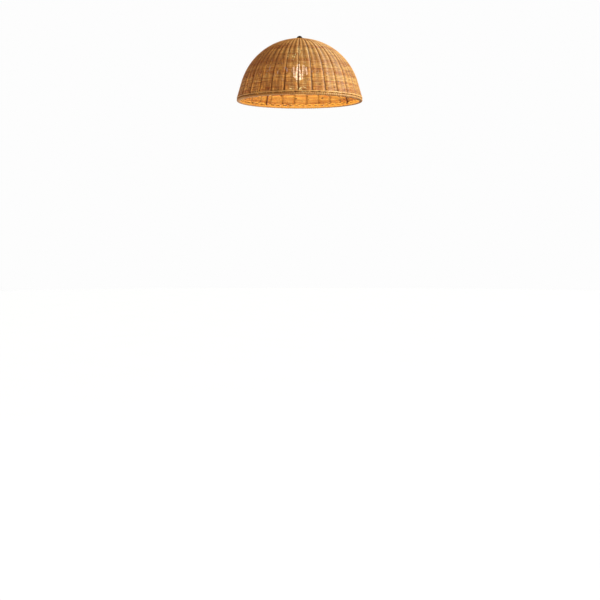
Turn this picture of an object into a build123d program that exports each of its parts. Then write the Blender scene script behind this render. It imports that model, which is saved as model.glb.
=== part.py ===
from build123d import *
import math
import os

# A woven rattan dome shade on a steel wire frame, in millimetres.
# Origin: centre of the plane that the rim stands on. +Z runs up through the crown.

# Dome outline: a leaning skirt that meets a round dome, given at the weave's outer face
rim_diameter = 380.0
dome_radius = 183.9
dome_centre_z = 5.5
skirt_lean = 16.3

# Wall: reed outside the stakes, room for the stakes, reed inside them
reed_layer = 2.0
stake_room = 2.8
stake_diameter = 2.4
stake_depth = reed_layer + stake_room / 2
inner_layer_depth = reed_layer + stake_room
wall_depth = inner_layer_depth + reed_layer

# Stakes: pairs round the dome, one stake of each pair reaching in to the crown
pair_count = 29
first_pair_angle = -85.0
half_pair_angle = 2.9
long_stake_crown_radius = 14.5
short_stake_crown_radius = 31.0
stake_foot_z = 7.6

# Weave bands, by the height angle of their edges on the dome
crown_weave_radius = 22.0
inner_crown_weave_radius = 24.0
shoulder_top_angle = 52.0
skirt_top_angle = skirt_lean
band_gap = 0.3
outer_weave_foot_z = 14.4
inner_weave_foot_z = 9.0

# Steel wire frame
frame_wire = 4.0
frame_clearance = 0.2
rib_angles = (35.0, 125.0, 215.0, 305.0)
rib_depth = wall_depth + frame_clearance + frame_wire / 2
rib_crown_radius = 14.0

# Rim binding: a channel of wrapped reed with the ring wire and the stake ends inside
binding_wall = 1.2
binding_height = 8.2
binding_outer_corner = 3.4
binding_inner_corner = binding_outer_corner - binding_wall
ring_clearance = 0.3
ring_z = binding_wall + ring_clearance + frame_wire / 2
rib_notch_width = frame_wire + 1.0

# Rope-like wale of thicker rods above the binding
wale_z = 11.2
wale_half_height = 2.4
wale_half_width = 1.0

# Crown: plate under the stakes, disc over them, finial on top
stud_clearance_radius = 5.15
plate_radius = 20.0
plate_thickness = 2.0
rib_weld_depth = 0.9
disc_radius = 21.0
disc_thickness = 1.5
disc_seat_gap = 0.2
disc_edge_round = 0.6
finial_radius = 8.0
finial_height = 9.0
finial_skirt_height = 4.0
finial_edge_round = 0.6
finial_seat_gap = 0.1
finial_thread_radius = 4.5
finial_thread_depth = 6.0


def skirt_radius(depth, z):
    """Radius at height z of the leaning surface that lies depth under the outer face."""
    lean = math.radians(skirt_lean)
    return (dome_radius - depth) / math.cos(lean) + (dome_centre_z - z) * math.tan(lean)


def dome_point(depth, height_angle):
    """Radius and height of the point at a height angle, depth under the outer face."""
    radius = dome_radius - depth
    angle = math.radians(height_angle)
    return (radius * math.cos(angle), dome_centre_z + radius * math.sin(angle))


def height_angle_at(depth, crown_radius):
    """Height angle at which the surface depth under the outer face has a given radius."""
    return math.degrees(math.acos(crown_radius / (dome_radius - depth)))


def crown_height(depth, crown_radius):
    """Height at the crown of the surface that lies depth under the outer face."""
    return dome_point(depth, height_angle_at(depth, crown_radius))[1]


def meridian_plane(angle):
    """Upright plane through the axis, with its x outward at an angle round the axis."""
    turn = math.radians(angle)
    outward = (math.cos(turn), math.sin(turn), 0)
    sideways = (math.sin(turn), -math.cos(turn), 0)
    return Plane(origin=(0, 0, 0), x_dir=outward, z_dir=sideways)


def rod_along_wall(angle, depth, foot_z, crown_radius, diameter):
    """Round rod that runs straight up the skirt and then over the dome to the crown."""
    top_angle = height_angle_at(depth, crown_radius)
    with BuildPart() as rod:
        with BuildLine(meridian_plane(angle)) as path:
            Line((skirt_radius(depth, foot_z), foot_z), dome_point(depth, skirt_lean))
            CenterArc(
                (0, dome_centre_z), dome_radius - depth, skirt_lean, top_angle - skirt_lean
            )
        route = path.wires()[0]
        with BuildSketch(Plane(origin=route @ 0, z_dir=route % 0)):
            Circle(diameter / 2)
        sweep(path=route)
    return rod.part


def dome_band(depth, low_angle, high_angle):
    """One layer of reed round the dome between two height angles."""
    inside = depth + reed_layer
    sweep_angle = high_angle - low_angle
    with BuildPart() as band:
        with BuildSketch(Plane.XZ):
            with BuildLine():
                CenterArc((0, dome_centre_z), dome_radius - depth, low_angle, sweep_angle)
                Line(dome_point(depth, high_angle), dome_point(inside, high_angle))
                CenterArc((0, dome_centre_z), dome_radius - inside, low_angle, sweep_angle)
                Line(dome_point(inside, low_angle), dome_point(depth, low_angle))
            make_face()
        revolve(axis=Axis.Z)
    return band.part


def skirt_band(depth, foot_z):
    """One layer of reed round the leaning skirt, from foot_z up to where the dome starts."""
    inside = depth + reed_layer
    with BuildPart() as band:
        with BuildSketch(Plane.XZ):
            with BuildLine():
                Polyline(
                    (skirt_radius(depth, foot_z), foot_z),
                    dome_point(depth, skirt_lean),
                    dome_point(inside, skirt_lean),
                    (skirt_radius(inside, foot_z), foot_z),
                    close=True,
                )
            make_face()
        revolve(axis=Axis.Z)
    return band.part


def save(part, name):
    """Label a finished piece and write its file."""
    part.label = name
    export_step(part, f"parts/{name}.step")


os.makedirs("parts", exist_ok=True)

# Stakes: the upright rods that the reed is woven round
for index in range(pair_count):
    pair_angle = first_pair_angle + index * 360 / pair_count
    long_stake = rod_along_wall(
        pair_angle - half_pair_angle,
        stake_depth,
        stake_foot_z,
        long_stake_crown_radius,
        stake_diameter,
    )
    short_stake = rod_along_wall(
        pair_angle + half_pair_angle,
        stake_depth,
        stake_foot_z,
        short_stake_crown_radius,
        stake_diameter,
    )
    with BuildPart() as stake_pair:
        add(long_stake)
        add(short_stake)
    save(stake_pair.part, f"stake_pair_{index + 1:02d}")

# Weave: one layer of reed outside the stakes and one inside, in three bands
half_gap_angle = math.degrees(band_gap / 2 / dome_radius)
for side, depth, crown_radius, foot_z in (
    ("outer", 0.0, crown_weave_radius, outer_weave_foot_z),
    ("inner", inner_layer_depth, inner_crown_weave_radius, inner_weave_foot_z),
):
    crown_weave = dome_band(
        depth, shoulder_top_angle + half_gap_angle, height_angle_at(depth, crown_radius)
    )
    shoulder_weave = dome_band(
        depth, skirt_top_angle + 2 * half_gap_angle, shoulder_top_angle - half_gap_angle
    )
    skirt_weave = skirt_band(depth, foot_z)
    save(crown_weave, f"crown_weave_{side}")
    save(shoulder_weave, f"shoulder_weave_{side}")
    save(skirt_weave, f"skirt_weave_{side}")

# Frame ribs: steel wire from the crown plate down to the ring in the rim
for index, rib_angle in enumerate(rib_angles):
    frame_rib = rod_along_wall(rib_angle, rib_depth, ring_z, rib_crown_radius, frame_wire)
    save(frame_rib, f"frame_rib_{index + 1}")

# Bottom ring: steel wire that the ribs are welded to
ring_radius = skirt_radius(rib_depth, ring_z)
with BuildPart() as bottom_ring:
    with BuildSketch(Plane.XZ):
        with Locations((ring_radius, ring_z)):
            Circle(frame_wire / 2)
    revolve(axis=Axis.Z)
save(bottom_ring.part, "bottom_ring")

# Rim binding: a channel open at the top, notched where each rib comes in
cavity_inner_radius = ring_radius - frame_wire / 2 - ring_clearance
cavity_outer_radius = rim_diameter / 2 - binding_wall
binding_inner_radius = cavity_inner_radius - binding_wall
with BuildPart() as rim_binding:
    with BuildSketch(Plane.XZ) as section:
        with BuildLine():
            FilletPolyline(
                (binding_inner_radius, binding_height),
                (binding_inner_radius, 0),
                (rim_diameter / 2, 0),
                (rim_diameter / 2, binding_height),
                radius=binding_outer_corner,
            )
            Line(
                (rim_diameter / 2, binding_height),
                (cavity_outer_radius, binding_height),
            )
            FilletPolyline(
                (cavity_outer_radius, binding_height),
                (cavity_outer_radius, binding_wall),
                (cavity_inner_radius, binding_wall),
                (cavity_inner_radius, binding_height),
                radius=binding_inner_corner,
            )
            Line(
                (cavity_inner_radius, binding_height),
                (binding_inner_radius, binding_height),
            )
        make_face()
    revolve(axis=Axis.Z)
    for rib_angle in rib_angles:
        with BuildSketch(meridian_plane(rib_angle)):
            with Locations((ring_radius - frame_wire, ring_z + binding_height / 2)):
                Rectangle(2 * frame_wire, binding_height)
        extrude(amount=rib_notch_width / 2, both=True, mode=Mode.SUBTRACT)
save(rim_binding.part, "rim_binding")

# Wale: the thicker twisted edge that closes the weave above the binding
with BuildPart() as rim_wale:
    with BuildSketch(Plane.XZ):
        with Locations((rim_diameter / 2 - wale_half_width, wale_z)):
            Ellipse(wale_half_width, wale_half_height)
    revolve(axis=Axis.Z)
save(rim_wale.part, "rim_wale")

# Crown plate: the ribs are welded under it, and the lamp's stud comes up through it
rib_tip_top_z = crown_height(rib_depth, rib_crown_radius) + frame_wire / 2
with BuildPart() as crown_plate:
    with BuildSketch(Plane.XY.offset(rib_tip_top_z - rib_weld_depth)):
        Circle(plate_radius)
        Circle(stud_clearance_radius, mode=Mode.SUBTRACT)
    extrude(amount=plate_thickness)
save(crown_plate.part, "crown_plate")

# Cap disc: lies on the tips of the long stakes and hides them
stake_tip_top_z = crown_height(stake_depth, long_stake_crown_radius) + stake_diameter / 2
disc_bottom_z = stake_tip_top_z + disc_seat_gap
with BuildPart() as cap_disc:
    with BuildSketch(Plane.XY.offset(disc_bottom_z)):
        Circle(disc_radius)
        Circle(stud_clearance_radius, mode=Mode.SUBTRACT)
    extrude(amount=disc_thickness)
    rim_edge = cap_disc.edges().group_by(Axis.Z)[-1].sort_by(SortBy.RADIUS)[-1]
    fillet(rim_edge, radius=disc_edge_round)
save(cap_disc.part, "cap_disc")

# Finial: a low domed nut that screws down on the stud
finial_base_z = disc_bottom_z + disc_thickness + finial_seat_gap
finial_top_z = finial_base_z + finial_height
finial_shoulder_z = finial_base_z + finial_skirt_height
finial_cap_height = finial_height - finial_skirt_height
finial_cap_radius = (finial_radius**2 + finial_cap_height**2) / (2 * finial_cap_height)
finial_cap_angle = math.degrees(math.acos(finial_radius / finial_cap_radius))
with BuildPart() as finial:
    with BuildSketch(Plane.XZ):
        with BuildLine():
            Polyline(
                (0, finial_top_z),
                (0, finial_base_z),
                (finial_radius, finial_base_z),
                (finial_radius, finial_shoulder_z),
            )
            CenterArc(
                (0, finial_top_z - finial_cap_radius),
                finial_cap_radius,
                finial_cap_angle,
                90 - finial_cap_angle,
            )
        make_face()
    revolve(axis=Axis.Z)
    fillet(finial.edges().group_by(Axis.Z)[0], radius=finial_edge_round)
    with BuildSketch(Plane.XY.offset(finial_base_z)):
        Circle(finial_thread_radius)
    extrude(amount=finial_thread_depth, mode=Mode.SUBTRACT)
save(finial.part, "finial")
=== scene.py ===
import math
import random

import bmesh
import bpy
from mathutils import Matrix, Vector


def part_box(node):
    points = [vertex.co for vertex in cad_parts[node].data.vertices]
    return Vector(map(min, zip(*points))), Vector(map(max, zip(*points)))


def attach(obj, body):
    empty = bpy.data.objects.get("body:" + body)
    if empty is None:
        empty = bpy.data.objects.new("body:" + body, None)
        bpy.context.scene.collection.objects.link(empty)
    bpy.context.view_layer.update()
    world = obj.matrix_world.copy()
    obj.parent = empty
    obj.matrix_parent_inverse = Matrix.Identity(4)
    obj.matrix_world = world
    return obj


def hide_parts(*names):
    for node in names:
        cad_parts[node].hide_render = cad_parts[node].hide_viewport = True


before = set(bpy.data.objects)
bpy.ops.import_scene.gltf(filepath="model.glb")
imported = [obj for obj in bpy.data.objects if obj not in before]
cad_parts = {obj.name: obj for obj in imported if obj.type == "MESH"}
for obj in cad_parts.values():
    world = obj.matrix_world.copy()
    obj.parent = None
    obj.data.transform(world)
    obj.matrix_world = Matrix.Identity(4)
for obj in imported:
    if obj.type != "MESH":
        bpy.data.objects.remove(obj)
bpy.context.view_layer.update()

bl_info = {
    "name": "Rattan Dome Shade",
    "version": (1, 0, 0),
    "blender": (4, 5, 0),
    "location": "View3D > Sidebar > Shade",
    "description": "Builds the woven reed, wrapped rim, wire frame and finial of a rattan dome shade",
    "category": "Add Mesh",
}

MM = 0.001
RIM_BODY = "shade"
WELD_DISTANCE = 0.005 * MM
PAIR_NODES = sorted(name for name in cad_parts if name.startswith("stake_pair"))
RIB_NODES = sorted(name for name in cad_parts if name.startswith("frame_rib"))
WEAVE_BANDS = ("skirt_weave", "shoulder_weave", "crown_weave")


def linear(hex_colour):
    """An sRGB hex colour as linear red, green and blue."""
    channels = [int(hex_colour[i : i + 2], 16) / 255 for i in (1, 3, 5)]
    return [c / 12.92 if c <= 0.04045 else ((c + 0.055) / 1.055) ** 2.4 for c in channels]


def opaque(colour):
    """A colour with full opacity, as a node's socket takes it."""
    return (*colour, 1)


def colour_property(name, description, hex_colour):
    """A colour that a user can change, with its default given in sRGB hex."""
    return bpy.props.FloatVectorProperty(
        name=name,
        description=description,
        subtype="COLOR",
        min=0,
        max=1,
        default=linear(hex_colour),
    )


def length_property(name, description, millimetres):
    """A length that a user can change, with its default given in millimetres."""
    return bpy.props.FloatProperty(
        name=name,
        description=description,
        default=millimetres * MM,
        min=0,
        unit="LENGTH",
        subtype="DISTANCE",
        precision=5,
    )


class ShadeSizes(bpy.types.PropertyGroup):
    skirt_lean: bpy.props.FloatProperty(
        name="Skirt lean",
        description="How far the lower wall leans from upright",
        default=math.radians(16.3),
        subtype="ANGLE",
    )
    first_pair_angle: bpy.props.FloatProperty(
        name="First stake pair",
        description="Angle round the shade of the first pair of stakes",
        default=math.radians(-85),
        subtype="ANGLE",
    )
    half_pair_angle: bpy.props.FloatProperty(
        name="Half pair spread",
        description="Angle from the middle of a pair of stakes to each stake",
        default=math.radians(2.9),
        subtype="ANGLE",
    )
    stake_depth: length_property("Stake depth", "From the outer face of the weave to the stakes", 3.4)
    reed_height: length_property("Reed height", "Height of the oval weaving reed", 3.3)
    reed_thickness: length_property("Reed thickness", "Thickness of the oval weaving reed", 1.9)
    row_pitch: length_property("Row pitch", "Height of one row of weaving", 2.05)
    reed_length: length_property("Reed length", "Length of one weaving reed", 3200)
    reed_wander: length_property("Reed wander", "How far a reed strays from its row", 0.16)
    crown_hole: length_property("Crown hole", "Radius at which the weaving stops at the crown", 22.6)
    wale_height: length_property("Wale height", "Height of the three rods twisted at the rim", 5.7)
    wale_rod: length_property("Wale rod", "Thickness of one rod of the wale", 2.9)
    cane_width: length_property("Cane width", "Width of the cane wrapped round the rim", 6.9)
    cane_thickness: length_property("Cane thickness", "Thickness of the wrapped cane", 1.3)
    wraps_per_pair: bpy.props.IntProperty(
        name="Wraps per pair",
        description="Turns of wrapped cane for each pair of stakes",
        default=6,
        min=1,
    )


class ShadeColours(bpy.types.PropertyGroup):
    # The knot colour also serves as the painted shade that darkens the weave's grooves.
    reed_pale: colour_property("Pale reed", "Lightest reed in the weave", "#e2ab5e")
    reed_deep: colour_property("Deep reed", "Darkest reed in the weave", "#a2521c")
    reed_knot: colour_property("Reed knot", "Dark flecks and knots in the reed", "#4c260c")
    cane: colour_property("Cane", "Wrapped cane of the rim", "#b98642")
    stake: colour_property("Stake", "Upright rods behind the weave", "#8a5527")
    enamel: colour_property("Wire enamel", "Enamel on the steel wire frame", "#66371a")
    bronze: colour_property("Bronze", "Finial and cap disc", "#24180f")
    room_tint: colour_property("Room tint", "Warmth of the light from the room", "#ffdab0")
    backdrop: colour_property("Backdrop", "Background as it is seen", "#fdfdfd")
    paper: colour_property("Paper", "Seamless paper of the studio floor", "#dddae1")
    key_light: colour_property("Key light", "Daylight from the large light on the right", "#e4fbff")
    bulb_glow: colour_property("Bulb glow", "Light that the bulb throws on the weave", "#fcffb2")
    bulb_face: colour_property("Bulb face", "The bulb's own face as it is seen", "#fff0dc")


class StudioSizes(bpy.types.PropertyGroup):
    camera_back: length_property("Camera distance", "From the shade's axis to the camera", 3337)
    camera_down: length_property("Camera drop", "From the rim's plane down to the camera", 379)
    camera_aside: length_property("Camera aside", "From the shade's axis across to the camera", 1.2)
    camera_tilt: bpy.props.FloatProperty(
        name="Camera tilt",
        description="How far the camera looks down from level",
        default=math.radians(3.79),
        subtype="ANGLE",
    )
    camera_lens: bpy.props.FloatProperty(
        name="Camera lens",
        description="Focal length in millimetres, on a sensor 36 mm wide",
        default=65.56,
    )
    room_light: bpy.props.FloatProperty(
        name="Room light",
        description="Strength of the even light from the white room",
        default=0.53,
        min=0,
    )
    key_strength: bpy.props.FloatProperty(
        name="Key light",
        description="Strength of the large light from the right",
        default=7.5,
        min=0,
    )
    key_spread: bpy.props.FloatProperty(
        name="Key light spread",
        description="Angle that the large light fills, which sets how soft its shadows are",
        default=math.radians(18),
        subtype="ANGLE",
    )
    key_direction: bpy.props.FloatVectorProperty(
        name="Key light direction",
        description="Way that the large light travels, from the right, in front and above",
        default=(-0.88, 0.15, -0.48),
        subtype="DIRECTION",
    )
    glow_power: bpy.props.FloatProperty(
        name="Bulb glow power",
        description="Power in watts of the light that the bulb throws on the weave",
        default=2.6,
        min=0,
    )
    face_power: bpy.props.FloatProperty(
        name="Bulb face power",
        description="Power in watts of the bulb's own face",
        default=0.07,
        min=0,
    )
    floor_drop: length_property("Floor drop", "From the rim's plane down to the floor", 1389)
    bulb_height: length_property("Bulb height", "From the rim's plane up to the bulb's middle", 90)
    bulb_radius: length_property("Bulb radius", "Radius of the glowing bulb", 24)


class Wall:
    """Outline of the shade's wall: a leaning skirt that meets a round dome."""

    def __init__(self, sizes):
        low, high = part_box("skirt_weave_outer")
        self.lean = sizes.skirt_lean
        self.foot_radius = high.x
        self.foot_z = low.z
        self.skirt_length = (high.z - low.z) / math.cos(self.lean)
        knee_radius = self.foot_radius - self.skirt_length * math.sin(self.lean)
        self.dome_radius = knee_radius / math.cos(self.lean)
        self.centre_z = high.z - self.dome_radius * math.sin(self.lean)

    def at(self, along, depth):
        """Radius, height and lean at a length up the wall and a depth under its outer face."""
        if along < self.skirt_length:
            lean = self.lean
            radius = self.foot_radius - along * math.sin(lean)
            height = self.foot_z + along * math.cos(lean)
        else:
            lean = self.lean + (along - self.skirt_length) / self.dome_radius
            radius = self.dome_radius * math.cos(lean)
            height = self.centre_z + self.dome_radius * math.sin(lean)
        return radius - depth * math.cos(lean), height - depth * math.sin(lean), lean

    def depth_of(self, point):
        """How deep a point lies under the wall's outer face."""
        radius, rise = math.hypot(point.x, point.y), point.z - self.centre_z
        lean = max(self.lean, math.atan2(rise, radius))
        return self.dome_radius - radius * math.cos(lean) - rise * math.sin(lean)

    def length_to(self, crown_radius):
        """Length up the wall to where the dome has closed in to a radius."""
        top_lean = math.acos(crown_radius / self.dome_radius)
        return self.skirt_length + (top_lean - self.lean) * self.dome_radius


def wander(source, shortest, longest, waves=4):
    """A slow smooth wander between about -1 and 1, as a function of distance."""
    parts = [
        (math.tau / source.uniform(shortest, longest), source.uniform(0, math.tau))
        for _ in range(waves)
    ]
    return lambda distance: sum(math.sin(rate * distance + phase) for rate, phase in parts) / waves


def oval_section(thickness, height):
    """A closed oval curve, thickness across and height up, for a strand to be swept with."""
    curve = bpy.data.curves.new("section", "CURVE")
    curve.dimensions = "2D"
    curve.resolution_u = 2
    spline = curve.splines.new("BEZIER")
    spline.bezier_points.add(3)
    spline.use_cyclic_u = True
    across, up = thickness / 2, height / 2
    handle = 4 / 3 * math.tan(math.pi / 8)
    corners = ((across, 0), (0, up), (-across, 0), (0, -up))
    for point, (x, y) in zip(spline.bezier_points, corners):
        along = Vector((-y * across / up, x * up / across, 0)) * handle
        point.co = (x, y, 0)
        point.handle_left = point.co - along
        point.handle_right = point.co + along
    section = bpy.data.objects.new("section", curve)
    bpy.context.scene.collection.objects.link(section)
    return section


def swept_mesh(name, points, section, closed=False, dimensions="3D"):
    """Mesh of a section swept along points, each (position, tilt, scale), with UVs in metres."""
    curve = bpy.data.curves.new(name, "CURVE")
    curve.dimensions = dimensions
    curve.twist_mode = "Z_UP"
    curve.bevel_mode = "OBJECT"
    curve.bevel_object = section
    curve.use_fill_caps = not closed
    spline = curve.splines.new("POLY")
    spline.points.add(len(points) - 1)
    spline.use_cyclic_u = closed
    for target, (position, tilt, scale) in zip(spline.points, points):
        target.co = (*position, 1)
        target.tilt = tilt
        target.radius = scale
    path = bpy.data.objects.new(name, curve)
    bpy.context.scene.collection.objects.link(path)
    depsgraph = bpy.context.evaluated_depsgraph_get()
    mesh = bpy.data.meshes.new_from_object(path.evaluated_get(depsgraph), depsgraph=depsgraph)
    mesh.name = name
    length = sum((Vector(b[0]) - Vector(a[0])).length for a, b in zip(points, points[1:]))
    around = math.pi * (section.dimensions.x + section.dimensions.y) / 2
    for corner in mesh.uv_layers.active.data:
        corner.uv = (corner.uv[0] * length, corner.uv[1] * around)
    bpy.data.objects.remove(path)
    bpy.data.curves.remove(curve)
    return mesh


def finished(name, mesh, material, body, replaced=(), painted=None):
    """Cleans a mesh, makes it a smooth-shaded object and sets it on its body.

    painted gives each attribute that the material reads as a function of a vertex's place.
    """
    shape = bmesh.new()
    shape.from_mesh(mesh)
    bmesh.ops.remove_doubles(shape, verts=shape.verts, dist=WELD_DISTANCE)
    bmesh.ops.recalc_face_normals(shape, faces=shape.faces)
    for face in shape.faces:
        face.smooth = True
    shape.to_mesh(mesh)
    shape.free()
    for attribute_name, value_at in (painted or {}).items():
        attribute = mesh.attributes.new(attribute_name, "FLOAT", "POINT")
        values = [value_at(vertex.co) for vertex in mesh.vertices]
        attribute.data.foreach_set("value", values)
    piece = bpy.data.objects.new(name, mesh)
    bpy.context.scene.collection.objects.link(piece)
    mesh.materials.clear()
    mesh.materials.append(material)
    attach(piece, body)
    if replaced:
        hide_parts(*replaced)
    return piece


def groove(wall, sizes):
    """How far a point lies in the grooves of the weave, which the reed's material darkens as painted
    shade: 0 on its faces, 1 midway through it.
    """
    # Shares of the stakes' depth: where the groove begins, and how far it takes to be full.
    begins, fills_in = 0.15, 0.65
    # Behind the stakes it fades again, to this share on the weave's inner face.
    inner_share, fades_in = 0.3, 0.4

    def groove_at(point):
        deep = wall.depth_of(point) / sizes.stake_depth
        share = min(1.0, max(0.0, (deep - begins) / fills_in))
        if deep > 1:
            share = max(inner_share, 1 - (1 - inner_share) * (deep - 1) / fades_in)
        return share * share * (3 - 2 * share)

    return groove_at


def add_node(tree, kind, settings=None, **inputs):
    """Adds a node with its settings, and sets or links each input, by name or as n and its place."""
    node = tree.nodes.new(kind)
    for key, value in (settings or {}).items():
        setattr(node, key, value)
    for key, value in inputs.items():
        label = int(key[1:]) if key[1:].isdigit() else key.replace("_", " ")
        socket = node.inputs[label]
        if isinstance(value, bpy.types.NodeSocket):
            tree.links.new(value, socket)
        else:
            socket.default_value = value
    return node


def new_material(name):
    """An empty material with its shader, ready for the nodes of a finish."""
    material = bpy.data.materials.new(name)
    material.use_nodes = True
    tree = material.node_tree
    return material, tree, tree.nodes["Principled BSDF"]


def rattan_reed(colours, name, pale, deep):
    """Varnished round rattan reed: long fibres, patches of deeper honey and a few dark knots."""
    material, tree, shader = new_material(name)
    uv = add_node(tree, "ShaderNodeTexCoord").outputs["UV"]
    tone = add_node(tree, "ShaderNodeAttribute", {"attribute_name": "tone"}).outputs["Fac"]
    # Fibres run with the reed: about 30 mm long and 0.6 mm wide.
    fibre_place = add_node(tree, "ShaderNodeMapping", Vector=uv, Scale=(30, 1600, 1))
    fibre = add_node(
        tree,
        "ShaderNodeTexNoise",
        Vector=fibre_place.outputs["Vector"],
        Scale=1.0,
        Detail=4.0,
        Roughness=0.6,
    ).outputs["Fac"]
    # Patches of colour change every 60 mm or so, as reed darkens unevenly in its varnish.
    patch_place = add_node(tree, "ShaderNodeMapping", Vector=uv, Scale=(16, 60, 1))
    patch = add_node(
        tree,
        "ShaderNodeTexNoise",
        Vector=patch_place.outputs["Vector"],
        Scale=1.0,
        Detail=2.0,
    ).outputs["Fac"]
    # Knots are dark flecks about 10 mm long, scattered here and there along the reed.
    knot_place = add_node(tree, "ShaderNodeMapping", Vector=uv, Scale=(90, 80, 1))
    knot_noise = add_node(
        tree,
        "ShaderNodeTexNoise",
        Vector=knot_place.outputs["Vector"],
        Scale=1.0,
        Detail=0.0,
    ).outputs["Fac"]
    knot = add_node(
        tree,
        "ShaderNodeMapRange",
        Value=knot_noise,
        From_Min=0.71,
        From_Max=0.79,
    ).outputs["Result"]
    # Each length of reed has its own tone, and its patches go either way from there.
    mixed = add_node(
        tree, "ShaderNodeMath", {"operation": "MULTIPLY_ADD"}, n0=patch, n1=1.3, n2=-0.65
    ).outputs["Value"]
    shade = add_node(
        tree, "ShaderNodeMath", {"operation": "ADD", "use_clamp": True}, n0=mixed, n1=tone
    ).outputs["Value"]
    body = add_node(
        tree,
        "ShaderNodeMix",
        {"data_type": "RGBA"},
        n0=shade,
        n6=opaque(deep),
        n7=opaque(pale),
    ).outputs[2]
    # Varnish soaks into the open fibres and leaves them darker than the ones between.
    streak = add_node(
        tree, "ShaderNodeMapRange", Value=fibre, From_Min=0.3, From_Max=0.7, To_Min=0.72, To_Max=1.12
    ).outputs["Result"]
    streaked = add_node(
        tree,
        "ShaderNodeMix",
        {"data_type": "RGBA", "blend_type": "MULTIPLY"},
        n0=1.0,
        n6=body,
        n7=streak,
    ).outputs[2]
    knotted = add_node(
        tree,
        "ShaderNodeMix",
        {"data_type": "RGBA"},
        n0=knot,
        n6=streaked,
        n7=opaque(colours.reed_knot),
    ).outputs[2]
    # Painted shade: the weave's grooves, where the reed turns in between the stakes, are darkened
    # towards the knot colour.
    settled = add_node(tree, "ShaderNodeAttribute", {"attribute_name": "groove"}).outputs["Fac"]
    groove_shade = add_node(
        tree, "ShaderNodeMapRange", Value=settled, From_Min=0.1, From_Max=0.9, To_Max=0.72
    ).outputs["Result"]
    final = add_node(
        tree,
        "ShaderNodeMix",
        {"data_type": "RGBA"},
        n0=groove_shade,
        n6=knotted,
        n7=opaque(colours.reed_knot),
    ).outputs[2]
    tree.links.new(final, shader.inputs["Base Color"])
    roughness = add_node(
        tree, "ShaderNodeMapRange", Value=fibre, To_Min=0.38, To_Max=0.62
    ).outputs["Result"]
    tree.links.new(roughness, shader.inputs["Roughness"])
    bump = add_node(
        tree, "ShaderNodeBump", Height=fibre, Strength=0.5, Distance=0.15 * MM
    ).outputs["Normal"]
    tree.links.new(bump, shader.inputs["Normal"])
    shader.inputs["Specular IOR Level"].default_value = 0.35
    shader.inputs["Coat Weight"].default_value = 0.06
    shader.inputs["Coat Roughness"].default_value = 0.35
    return material


def rod_rattan(colours):
    """Peeled rattan rod of the stakes: matt, with long grain up the rod."""
    material, tree, shader = new_material("peeled_rattan_rod")
    place = add_node(tree, "ShaderNodeTexCoord").outputs["Object"]
    # Grain runs up the rod: about 25 mm long and 1 mm wide.
    grain_place = add_node(tree, "ShaderNodeMapping", Vector=place, Scale=(900, 900, 40))
    grain = add_node(
        tree, "ShaderNodeTexNoise", Vector=grain_place.outputs["Vector"], Scale=1.0, Detail=3.0
    ).outputs["Fac"]
    colour = add_node(
        tree,
        "ShaderNodeMix",
        {"data_type": "RGBA"},
        n0=grain,
        n6=opaque(colours.reed_knot),
        n7=opaque(colours.stake),
    ).outputs[2]
    tree.links.new(colour, shader.inputs["Base Color"])
    bump = add_node(
        tree, "ShaderNodeBump", Height=grain, Strength=0.4, Distance=0.1 * MM
    ).outputs["Normal"]
    tree.links.new(bump, shader.inputs["Normal"])
    shader.inputs["Roughness"].default_value = 0.6
    return material


def enamelled_wire(colours):
    """Brown enamel dipped on steel wire: a soft gloss with slow ripples where it ran."""
    material, tree, shader = new_material("dipped_brown_enamel")
    place = add_node(tree, "ShaderNodeTexCoord").outputs["Object"]
    # Ripples about 4 mm apart.
    ripple = add_node(
        tree, "ShaderNodeTexNoise", Vector=place, Scale=250.0, Detail=2.0
    ).outputs["Fac"]
    worn = add_node(
        tree, "ShaderNodeMapRange", Value=ripple, To_Min=0.75, To_Max=1.25
    ).outputs["Result"]
    colour = add_node(
        tree,
        "ShaderNodeMix",
        {"data_type": "RGBA", "blend_type": "MULTIPLY"},
        n0=1.0,
        n6=opaque(colours.enamel),
        n7=worn,
    ).outputs[2]
    tree.links.new(colour, shader.inputs["Base Color"])
    bump = add_node(
        tree, "ShaderNodeBump", Height=ripple, Strength=0.3, Distance=0.1 * MM
    ).outputs["Normal"]
    tree.links.new(bump, shader.inputs["Normal"])
    shader.inputs["Roughness"].default_value = 0.35
    return material


def oiled_bronze(colours):
    """Turned bronze, darkened and oil rubbed: near black with warm brown where hands wear it."""
    material, tree, shader = new_material("oil_rubbed_bronze")
    place = add_node(tree, "ShaderNodeTexCoord").outputs["Object"]
    # Cloudy patina in patches of about 3 mm.
    patina = add_node(
        tree, "ShaderNodeTexNoise", Vector=place, Scale=330.0, Detail=4.0
    ).outputs["Fac"]
    colour = add_node(
        tree,
        "ShaderNodeMix",
        {"data_type": "RGBA"},
        n0=patina,
        n6=opaque([c * 0.6 for c in colours.bronze]),
        n7=opaque([min(1, c * 1.9) for c in colours.bronze]),
    ).outputs[2]
    tree.links.new(colour, shader.inputs["Base Color"])
    roughness = add_node(
        tree, "ShaderNodeMapRange", Value=patina, To_Min=0.3, To_Max=0.5
    ).outputs["Result"]
    tree.links.new(roughness, shader.inputs["Roughness"])
    shader.inputs["Metallic"].default_value = 1.0
    return material


def matt_paper(colours):
    """Seamless matt paper under the studio lights, with the faintest mottle of its pulp."""
    material, tree, shader = new_material("seamless_paper")
    place = add_node(tree, "ShaderNodeTexCoord").outputs["Object"]
    # The mottle is about 300 mm across, coarse enough to show from where the camera stands.
    mottle = add_node(tree, "ShaderNodeTexNoise", Vector=place, Scale=3.0).outputs["Fac"]
    colour = add_node(
        tree,
        "ShaderNodeMix",
        {"data_type": "RGBA"},
        n0=mottle,
        n6=opaque([c * 0.98 for c in colours.paper]),
        n7=opaque(colours.paper),
    ).outputs[2]
    tree.links.new(colour, shader.inputs["Base Color"])
    shader.inputs["Roughness"].default_value = 0.9
    return material


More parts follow.
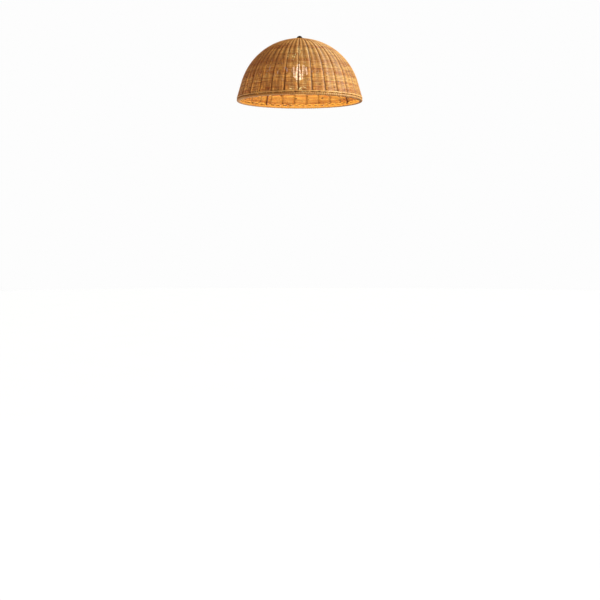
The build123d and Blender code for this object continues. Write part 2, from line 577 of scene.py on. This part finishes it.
def weaving_route(sizes, wall):
    """Points of the one spiral of reed, each (position, tilt, scale, side).

    side is 1 where the reed is outside the stakes, and -1 where it is inside them.
    """
    source = random.Random(29)
    # The reed strays in waves between these lengths, in metres.
    rise_wander = wander(source, 0.12, 0.6, 6)
    depth_wander = wander(source, 0.05, 0.3, 6)
    scale_wander = wander(source, 0.2, 1.0, 5)
    pairs = len(PAIR_NODES)
    steps_per_pair = 10
    # How squarely the reed turns in between two pairs, for each metre of radius.
    crossing_sharpness = 21
    # How far the reed sags in between the two stakes of a pair, which grows until halfway round
    # the whole spiral.
    foot_dip, crown_dip = 0.34, 0.68
    # How much thinner the reed is pressed where rows cross, and how much its size varies.
    crossing_pinch, size_spread = 0.27, 0.06
    # The first row is beaten down this far behind the wale.
    foot_tuck = 2.5 * MM
    swing = sizes.stake_depth - sizes.reed_thickness / 2
    at_stake = math.cos(pairs / 2 * sizes.half_pair_angle)
    start = 0.5 * sizes.reed_height - foot_tuck
    end = wall.length_to(sizes.crown_hole)
    turns = (end - start) / sizes.row_pitch
    count = int(turns * pairs * steps_per_pair)
    route = []
    travelled = 0.0
    for step in range(count):
        turned = step / (pairs * steps_per_pair)
        angle = turned * math.tau
        wave = math.cos(pairs / 2 * angle)
        sharpness = crossing_sharpness * (route[-1][0].xy.length if route else wall.foot_radius)
        reach = math.tanh(sharpness * wave) / math.tanh(sharpness)
        over = max(0.0, (abs(wave) - at_stake) / (1 - at_stake))
        dip = foot_dip + (crown_dip - foot_dip) * min(1.0, 2 * step / count)
        side = reach * (1 - dip * over * over * (3 - 2 * over))
        along = start + turned * sizes.row_pitch + sizes.reed_wander * rise_wander(travelled)
        depth = sizes.stake_depth - swing * side + 0.5 * sizes.reed_wander * depth_wander(travelled)
        radius, height, lean = wall.at(along, depth)
        turn = sizes.first_pair_angle + angle
        position = Vector((radius * math.cos(turn), radius * math.sin(turn), height))
        scale = 1 - crossing_pinch * (1 - abs(reach)) + size_spread * scale_wander(travelled)
        if route:
            travelled += (position - route[-1][0]).length
        route.append((position, -lean, scale, side))
    return route


class SHADE_OT_weave(bpy.types.Operator):
    """Weave the reed in and out of the stakes, as separate lengths of reed"""

    bl_idname = "shade.weave"
    bl_label = "Woven reed"

    def execute(self, context):
        sizes, colours = context.scene.shade_sizes, context.scene.shade_colours
        wall = Wall(sizes)
        route = weaving_route(sizes, wall)
        material = rattan_reed(colours, "varnished_rattan_reed", colours.reed_pale, colours.reed_deep)
        section = oval_section(sizes.reed_thickness, sizes.reed_height)
        groove_at = groove(wall, sizes)
        tops = [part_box(f"{band}_outer")[1].z for band in WEAVE_BANDS]
        source = random.Random(7)
        shortest, longest = 0.85, 1.15
        palest, deepest = 0.75, 0.25
        # A reed ends only where it is tucked in behind a pair of stakes.
        tucked_side = -0.65
        first, travelled, number = 0, 0.0, 1
        limit = sizes.reed_length * source.uniform(shortest, longest)
        for index in range(1, len(route)):
            travelled += (route[index][0] - route[index - 1][0]).length
            last = index == len(route) - 1
            tucked_in = route[index][3] < tucked_side
            if not last and not (travelled > limit and tucked_in):
                continue
            stretch = [point[:3] for point in route[first : index + 1]]
            low, high = route[first][0].z, route[index][0].z
            bands = [
                band
                for band, top, bottom in zip(WEAVE_BANDS, tops, [0, *tops])
                if low < top and high > bottom
            ]
            replaced = [f"{band}_{side}" for band in bands for side in ("outer", "inner")]
            name = f"weaving_reed_{number:02d}"
            mesh = swept_mesh(name, stretch, section)
            tone = source.uniform(deepest, palest)
            painted = {"tone": lambda point, tone=tone: tone, "groove": groove_at}
            finished(name, mesh, material, RIM_BODY, replaced, painted)
            first, travelled, number = index, 0.0, number + 1
            limit = sizes.reed_length * source.uniform(shortest, longest)
        bpy.data.objects.remove(section)
        return {"FINISHED"}


class SHADE_OT_wale(bpy.types.Operator):
    """Twist three rods round the stakes above the rim"""

    bl_idname = "shade.wale"
    bl_label = "Rim wale"

    def execute(self, context):
        sizes, colours = context.scene.shade_sizes, context.scene.shade_colours
        wall = Wall(sizes)
        low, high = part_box("rim_wale")
        settled = 0.2 * MM
        centre_z = (low.z + high.z) / 2 - settled
        outer_radius = high.x - sizes.wale_rod / 2
        inner_radius = outer_radius - 2 * sizes.stake_depth + sizes.wale_rod / 2
        stakes = 2 * len(PAIR_NODES)
        # Each of the rods passes over two stakes and behind the third.
        rods, over = 3, 2
        steps_per_stake = 8
        turn_sharpness = 4
        squash = 0.1
        tone = 0.7
        climb = (sizes.wale_height - sizes.wale_rod) / 2
        points = []
        for step in range(rods * stakes * steps_per_stake):
            turned = step / (stakes * steps_per_stake)
            place = (turned * stakes) % rods
            if place < over:
                share = place / over
                outside = min(1.0, turn_sharpness * share, turn_sharpness * (1 - share))
                height = climb * (1 - 2 * share)
            else:
                share = (place - over) / (rods - over)
                outside = -math.sin(math.pi * share)
                height = -climb * math.cos(math.pi * share)
            reach = (outside + 1) / 2
            radius = inner_radius + (outer_radius - inner_radius) * reach
            turn = sizes.first_pair_angle + turned * math.tau
            position = Vector(
                (radius * math.cos(turn), radius * math.sin(turn), centre_z + height)
            )
            points.append((position, -wall.lean, 1.0))
        section = oval_section(sizes.wale_rod * (1 - squash), sizes.wale_rod * (1 + squash))
        mesh = swept_mesh("rim_wale_rods", points, section, closed=True)
        material = rattan_reed(colours, "varnished_rattan_rod", colours.reed_pale, colours.reed_deep)
        painted = {"tone": lambda point: tone, "groove": groove(wall, sizes)}
        finished("rim_wale_rods", mesh, material, RIM_BODY, ["rim_wale"], painted)
        bpy.data.objects.remove(section)
        return {"FINISHED"}


class SHADE_OT_binding(bpy.types.Operator):
    """Wrap the rim in turns of flat cane"""

    bl_idname = "shade.binding"
    bl_label = "Wrapped rim"

    def execute(self, context):
        sizes, colours = context.scene.shade_sizes, context.scene.shade_colours
        low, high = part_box("rim_binding")
        ring_low, ring_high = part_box("bottom_ring")
        wire = ring_high.z - ring_low.z
        inset = sizes.cane_thickness / 2
        wall_gap = (high.z - wire) / 2 - inset
        outer = high.x - inset
        inner = ring_high.x - wire - wall_gap / 2
        corner_share = 0.42
        corner = corner_share * (high.z - low.z)
        turn = self.rounded_turn(inner, outer, low.z + inset, high.z - inset, corner)
        section = oval_section(sizes.cane_thickness, sizes.cane_width)
        template = swept_mesh("cane_turn", turn, section, closed=True, dimensions="2D")
        # The turn is drawn flat, so it is stood up with its width round the rim.
        template.transform(Matrix.Rotation(math.pi / 2, 4, "X"))
        source = random.Random(41)
        wraps = sizes.wraps_per_pair * len(PAIR_NODES)
        # Wraps lean in degrees, pull tighter or looser, and drift by a share of their spacing.
        slant_angle, slant_spread = 9, 3
        tightest, loosest = -0.04, 0.02
        drift = 0.08
        deepest, palest = 0.6, 0.95
        shape = bmesh.new()
        middle = Vector(((inner + outer) / 2, 0, (low.z + high.z) / 2))
        for number in range(wraps):
            count = len(shape.verts)
            shape.from_mesh(template)
            shape.verts.ensure_lookup_table()
            turn_verts = shape.verts[count:]
            lean = slant_angle + source.uniform(-slant_spread, slant_spread)
            slant = Matrix.Rotation(math.radians(lean), 4, "X")
            size = Matrix.Scale(1 + source.uniform(tightest, loosest), 4)
            seat = Matrix.Translation(middle) @ slant @ size @ Matrix.Translation(-middle)
            place = number + source.uniform(-drift, drift)
            round_rim = Matrix.Rotation(math.tau * place / wraps, 4, "Z")
            bmesh.ops.transform(shape, matrix=round_rim @ seat, verts=turn_verts)
        mesh = bpy.data.meshes.new("rim_wrapping")
        shape.to_mesh(mesh)
        shape.free()
        material = rattan_reed(colours, "polished_flat_cane", colours.cane, colours.reed_deep)
        tones = [source.uniform(deepest, palest) for _ in range(wraps)]
        painted = {
            "tone": lambda point: tones[round(math.atan2(point.y, point.x) / math.tau * wraps)],
            "groove": lambda point: 0.0,
        }
        finished(
            "rim_wrapping", mesh, material, RIM_BODY, ["rim_binding"], painted
        )
        bpy.data.objects.remove(section)
        bpy.data.meshes.remove(template)
        return {"FINISHED"}

    def rounded_turn(self, inner, outer, bottom, top, corner):
        """Points of one closed turn in a flat plane: a box with round corners."""
        steps = 5
        centres = (
            (outer - corner, bottom + corner, -90),
            (outer - corner, top - corner, 0),
            (inner + corner, top - corner, 90),
            (inner + corner, bottom + corner, 180),
        )
        points = []
        for x, z, begin in centres:
            for step in range(steps):
                angle = math.radians(begin + 90 * step / (steps - 1))
                spot = Vector((x + corner * math.cos(angle), z + corner * math.sin(angle), 0))
                points.append((spot, 0.0, 1.0))
        return points


class SHADE_OT_stakes(bpy.types.Operator):
    """Finish the upright rods"""

    bl_idname = "shade.stakes"
    bl_label = "Stakes"

    def execute(self, context):
        material = rod_rattan(context.scene.shade_colours)
        dress(PAIR_NODES, material)
        return {"FINISHED"}


class SHADE_OT_wire_frame(bpy.types.Operator):
    """Finish the steel wire frame"""

    bl_idname = "shade.wire_frame"
    bl_label = "Wire frame"

    def execute(self, context):
        material = enamelled_wire(context.scene.shade_colours)
        dress([*RIB_NODES, "bottom_ring", "crown_plate"], material)
        return {"FINISHED"}


class SHADE_OT_crown_fittings(bpy.types.Operator):
    """Finish the cap disc and the finial"""

    bl_idname = "shade.crown_fittings"
    bl_label = "Cap disc and finial"

    def execute(self, context):
        material = oiled_bronze(context.scene.shade_colours)
        dress(["cap_disc", "finial"], material)
        return {"FINISHED"}


def dress(names, material):
    """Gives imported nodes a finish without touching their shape."""
    for name in names:
        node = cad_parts[name]
        node.data.materials.clear()
        node.data.materials.append(material)


class SHADE_OT_studio(bpy.types.Operator):
    """Set up the camera, floor, background and lights"""

    bl_idname = "shade.studio"
    bl_label = "Studio"

    def execute(self, context):
        scene = context.scene
        studio, colours = scene.shade_studio, scene.shade_colours
        self.camera(scene, studio)
        self.floor(scene, studio, matt_paper(colours))
        self.background(scene, studio, colours)
        self.key_light(scene, studio, colours)
        self.bulb(scene, studio, "bulb_glow", studio.glow_power, colours.bulb_glow, False)
        self.bulb(scene, studio, "bulb_face", studio.face_power, colours.bulb_face, True)
        return {"FINISHED"}

    def camera(self, scene, studio):
        """The camera stands in front, a little under the rim."""
        data = bpy.data.cameras.new("camera")
        data.sensor_width = 36
        data.lens = studio.camera_lens
        data.clip_end = 50
        camera = bpy.data.objects.new("camera", data)
        camera.location = (studio.camera_aside, -studio.camera_back, -studio.camera_down)
        camera.rotation_euler = (math.pi / 2 - studio.camera_tilt, 0, 0)
        scene.collection.objects.link(camera)
        scene.camera = camera

    def floor(self, scene, studio, material):
        """A wide round floor where the lamp's foot would stand."""
        shape = bmesh.new()
        bmesh.ops.create_circle(shape, cap_ends=True, segments=64, radius=15)
        bmesh.ops.translate(shape, verts=shape.verts, vec=(0, 0, -studio.floor_drop))
        mesh = bpy.data.meshes.new("studio_floor")
        shape.to_mesh(mesh)
        shape.free()
        mesh.materials.append(material)
        floor = bpy.data.objects.new("studio_floor", mesh)
        scene.collection.objects.link(floor)

    def background(self, scene, studio, colours):
        """An even white room all round, dimmer as a light than it looks."""
        world = bpy.data.worlds.new("studio_room")
        world.use_nodes = True
        tree = world.node_tree
        seen = add_node(tree, "ShaderNodeLightPath").outputs["Is Camera Ray"]
        strength = add_node(
            tree, "ShaderNodeMapRange", Value=seen, To_Min=studio.room_light, To_Max=1.0
        ).outputs["Result"]
        tint = add_node(
            tree,
            "ShaderNodeMix",
            {"data_type": "RGBA"},
            n0=seen,
            n6=opaque(colours.room_tint),
            n7=opaque(colours.backdrop),
        ).outputs[2]
        light = tree.nodes["Background"]
        tree.links.new(tint, light.inputs["Color"])
        tree.links.new(strength, light.inputs["Strength"])
        scene.world = world
        scene.view_settings.view_transform = "Standard"

    def key_light(self, scene, studio, colours):
        """A large soft light from the right, in front and above."""
        data = bpy.data.lights.new("key_light", "SUN")
        data.energy = studio.key_strength
        data.angle = studio.key_spread
        data.color = colours.key_light
        light = bpy.data.objects.new("key_light", data)
        light.rotation_euler = Vector(studio.key_direction).to_track_quat("-Z", "Y").to_euler()
        scene.collection.objects.link(light)

    def bulb(self, scene, studio, name, power, colour, seen):
        """The warm glow where the lamp's bulb sits inside the shade."""
        data = bpy.data.lights.new(name, "POINT")
        data.energy = power
        data.shadow_soft_size = studio.bulb_radius
        data.color = colour
        light = bpy.data.objects.new(name, data)
        light.location = (0, 0, studio.bulb_height)
        light.visible_camera = seen
        scene.collection.objects.link(light)


BUILDERS = (
    SHADE_OT_weave,
    SHADE_OT_wale,
    SHADE_OT_binding,
    SHADE_OT_stakes,
    SHADE_OT_wire_frame,
    SHADE_OT_crown_fittings,
    SHADE_OT_studio,
)


class SHADE_PT_panel(bpy.types.Panel):
    """Sizes, colours and builders of the shade"""

    bl_idname = "SHADE_PT_panel"
    bl_label = "Rattan Dome Shade"
    bl_space_type = "VIEW_3D"
    bl_region_type = "UI"
    bl_category = "Shade"

    def draw(self, context):
        layout = self.layout
        scene = context.scene
        for group in (scene.shade_sizes, scene.shade_colours, scene.shade_studio):
            box = layout.box()
            for key in group.__annotations__:
                box.prop(group, key)
        for builder in BUILDERS:
            layout.operator(builder.bl_idname)


CLASSES = (ShadeSizes, ShadeColours, StudioSizes, *BUILDERS, SHADE_PT_panel)


def register():
    for item in CLASSES:
        bpy.utils.register_class(item)
    bpy.types.Scene.shade_sizes = bpy.props.PointerProperty(type=ShadeSizes)
    bpy.types.Scene.shade_colours = bpy.props.PointerProperty(type=ShadeColours)
    bpy.types.Scene.shade_studio = bpy.props.PointerProperty(type=StudioSizes)


def unregister():
    del bpy.types.Scene.shade_studio
    del bpy.types.Scene.shade_colours
    del bpy.types.Scene.shade_sizes
    for item in reversed(CLASSES):
        bpy.utils.unregister_class(item)


def main():
    register()
    bpy.ops.shade.weave()
    bpy.ops.shade.wale()
    bpy.ops.shade.binding()
    bpy.ops.shade.stakes()
    bpy.ops.shade.wire_frame()
    bpy.ops.shade.crown_fittings()
    bpy.ops.shade.studio()


if __name__ == "__main__":
    main()
